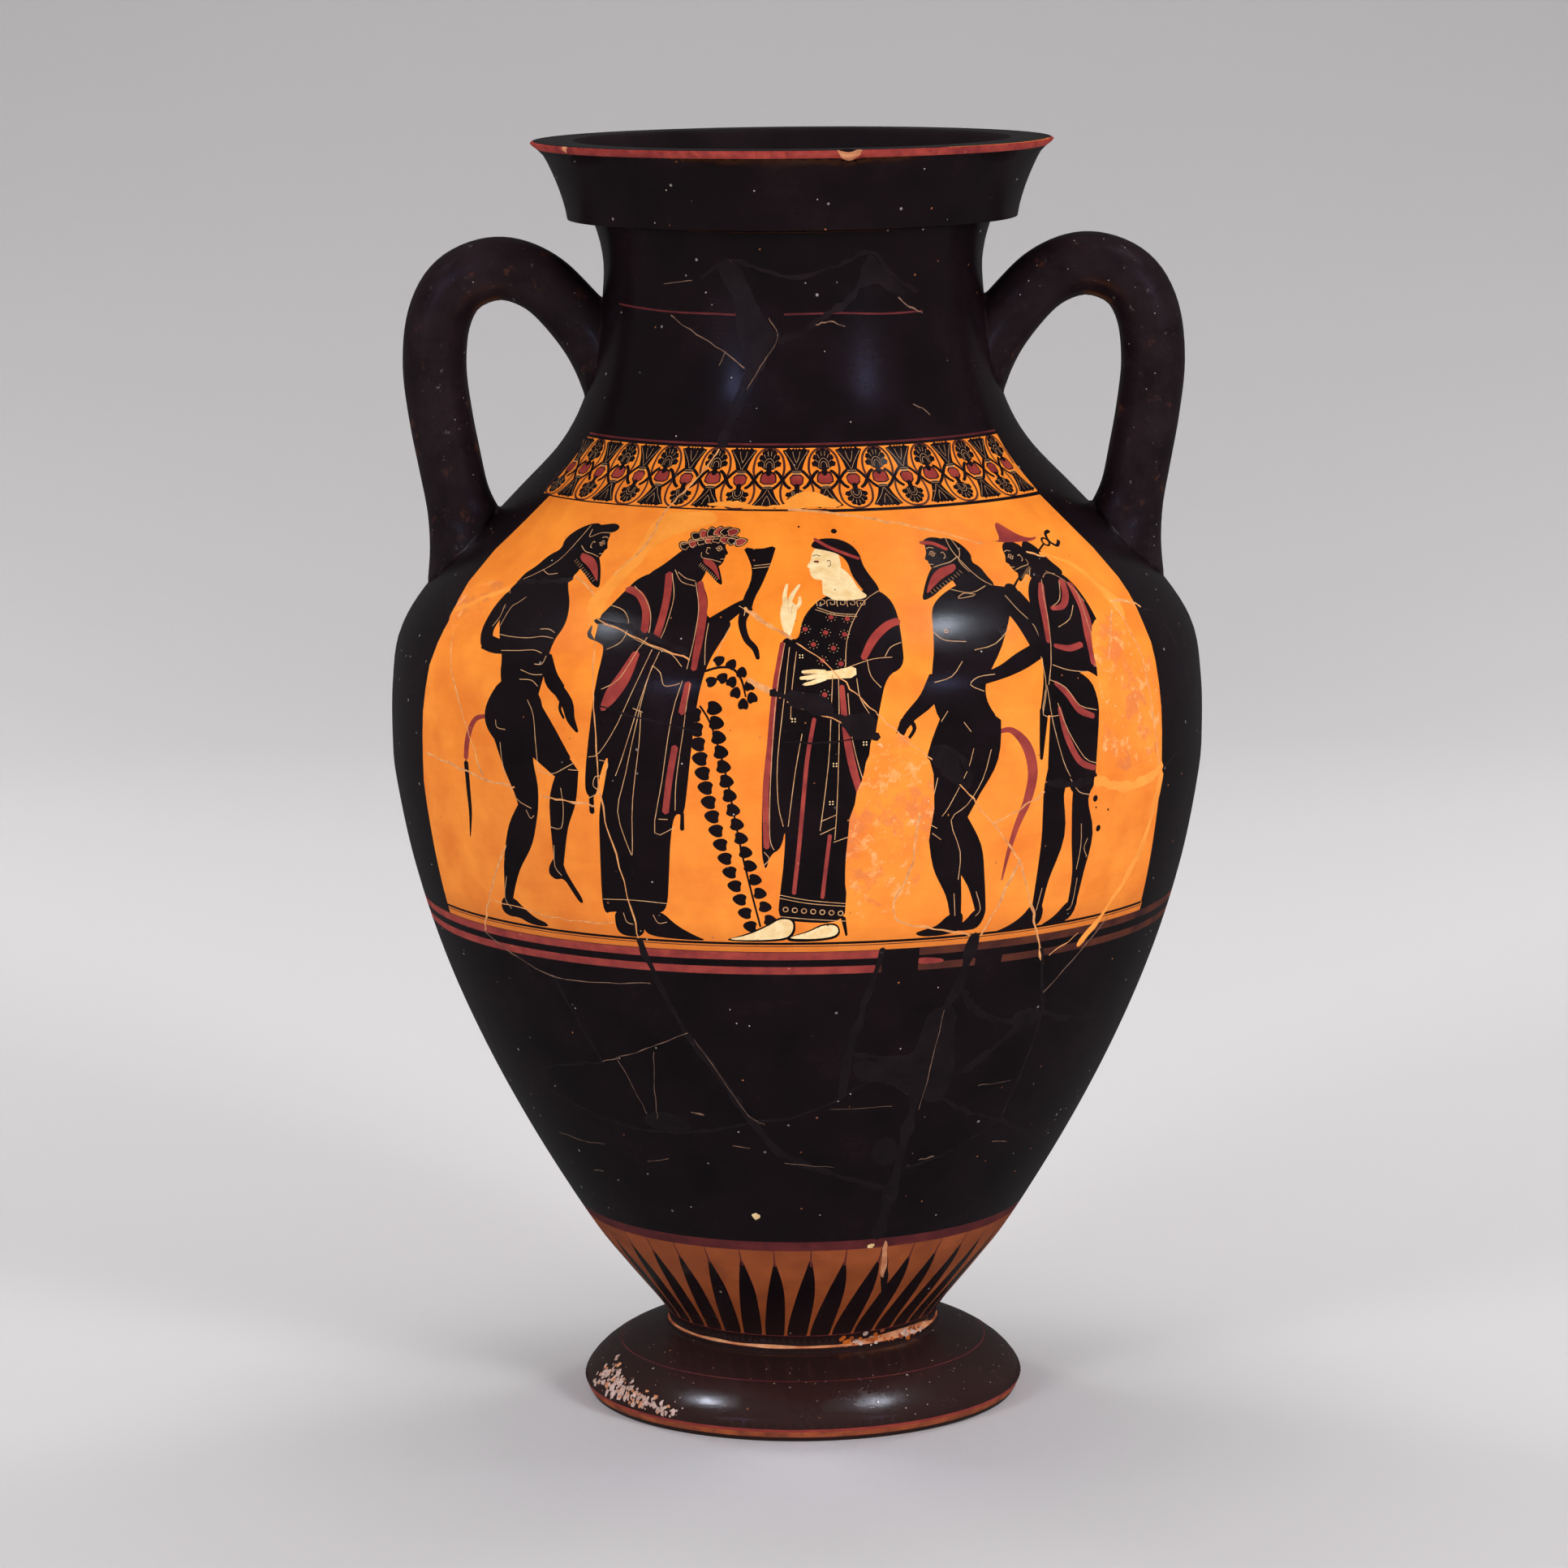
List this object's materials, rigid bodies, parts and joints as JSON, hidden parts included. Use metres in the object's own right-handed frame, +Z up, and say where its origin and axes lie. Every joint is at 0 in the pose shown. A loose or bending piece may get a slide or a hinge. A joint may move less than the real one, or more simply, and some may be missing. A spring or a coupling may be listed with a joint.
{
  "type": "black-figure amphora",
  "caption": "Two-handled fired clay storage jar in the one-piece shape: flaring mouth, full belly, rounded foot, a picture panel on each side and rays above the foot.",
  "frame": {"origin": "centre of the ring that the foot stands on, at the level of the ground", "axes": "+Z up the jar's axis; -Y out of the side with the main picture; +X and -X towards the two handles"},
  "size_m": [0.352, 0.352, 0.55],
  "materials": {
    "painted_clay": "glossy black slip over orange-red fired clay, with orange picture panels, dark red and white details, and old repairs"
  },
  "bodies": {
    "root": {"amphora": "painted_clay"}
  },
  "joints": []
}
